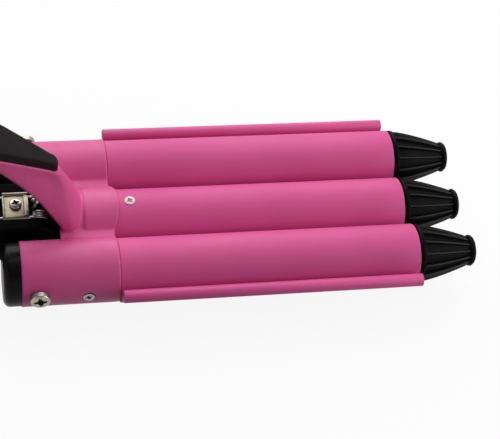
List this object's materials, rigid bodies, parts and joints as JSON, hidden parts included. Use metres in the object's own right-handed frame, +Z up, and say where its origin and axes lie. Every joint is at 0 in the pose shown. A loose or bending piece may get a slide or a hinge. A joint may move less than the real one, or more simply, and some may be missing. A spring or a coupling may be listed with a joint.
{
  "type": "triple barrel hair waver",
  "caption": "Hair waver: a sprung thumb lever lifts two heated barrels out of a wave-shaped plate with a fixed barrel between them; ribbed cool tips, round handle.",
  "frame": {"origin": "on the surface the tool lies on, below the middle of its length and width", "axes": "+X along the barrels towards the cool tips, +Y across the jaw, +Z up, the side of the thumb lever"},
  "size_m": [0.3634, 0.0892, 0.0796],
  "materials": {
    "jaw_pink": "satin pink moulding",
    "plate_pink": "pink ceramic coating on aluminium",
    "barrel_pink": "pink ceramic coating on aluminium",
    "tip_black": "matte black heat-proof moulding",
    "housing_black": "matte black moulding",
    "handle_black": "matte black, finely textured",
    "pad_black": "soft matte black",
    "hinge_screw_nickel": "nickel plated",
    "screw_steel": "zinc plated",
    "bracket_nickel": "pressed sheet, nickel plated",
    "spring_steel": "drawn spring wire",
    "insert_brass": "turned, knurled",
    "carrier_resin": "heat-proof resin",
    "heater_aluminium": "extruded",
    "board_green": "solder mask",
    "display_dark": "black potting",
    "window_smoke": "smoked, polished",
    "button_grey": "satin dark grey",
    "lead_red": "silicone insulation",
    "swivel_black": "matte black"
  },
  "bodies": {
    "handle": {"wave_plate": "plate_pink", "middle_barrel": "barrel_pink", "middle_tip": "tip_black", "neck_housing": "housing_black", "jaw_spine": "housing_black", "handle_upper_shell": "handle_black", "handle_lower_shell": "handle_black", "pivot_screws": "hinge_screw_nickel", "middle_barrel_screw": "screw_steel", "handle_screws": "screw_steel", "spine_screws": "screw_steel", "spring_bracket": "bracket_nickel", "bracket_screw": "bracket_nickel", "torsion_spring": "spring_steel", "hinge_inserts": "insert_brass", "middle_carrier": "carrier_resin", "middle_heater": "heater_aluminium", "control_board": "board_green", "display_module": "display_dark", "display_window": "window_smoke", "lead_bundle": "lead_red"},
    "upper_jaw": {"upper_jaw_frame": "jaw_pink", "thumb_pad": "pad_black", "pad_screws": "screw_steel", "left_barrel": "barrel_pink", "right_barrel": "barrel_pink", "left_carrier": "carrier_resin", "right_carrier": "carrier_resin", "left_heater": "heater_aluminium", "right_heater": "heater_aluminium", "left_tip": "tip_black", "right_tip": "tip_black", "left_end_cap": "housing_black", "right_end_cap": "housing_black", "barrel_screws": "screw_steel"},
    "power_button": {"power_button": "button_grey"},
    "plus_button": {"plus_button": "button_grey"},
    "minus_button": {"minus_button": "button_grey"},
    "cord_swivel": {"cord_swivel": "swivel_black"}
  },
  "joints": [
    {"name": "jaw_hinge", "type": "hinge", "parent": "handle", "child": "upper_jaw", "pos_m": [-0.00175, 0, 0.0214], "axis": [0, -1, 0], "range_deg": [0, 22], "stiffness_Nm_per_rad": 1, "springref_deg": -28.65},
    {"name": "power_button_press", "type": "slide", "parent": "handle", "child": "power_button", "axis": [0, 0, -1], "range_m": [0, 0.0008], "stiffness_N_per_m": 1500, "springref_m": -0.0006},
    {"name": "plus_button_press", "type": "slide", "parent": "handle", "child": "plus_button", "axis": [0, 0, -1], "range_m": [0, 0.0008], "stiffness_N_per_m": 1500, "springref_m": -0.0006},
    {"name": "minus_button_press", "type": "slide", "parent": "handle", "child": "minus_button", "axis": [0, 0, -1], "range_m": [0, 0.0008], "stiffness_N_per_m": 1500, "springref_m": -0.0006},
    {"name": "cord_swivel_turn", "type": "hinge", "parent": "handle", "child": "cord_swivel", "pos_m": [-0.17175, 0, 0.0174], "axis": [1, 0, 0], "continuous": true}
  ]
}
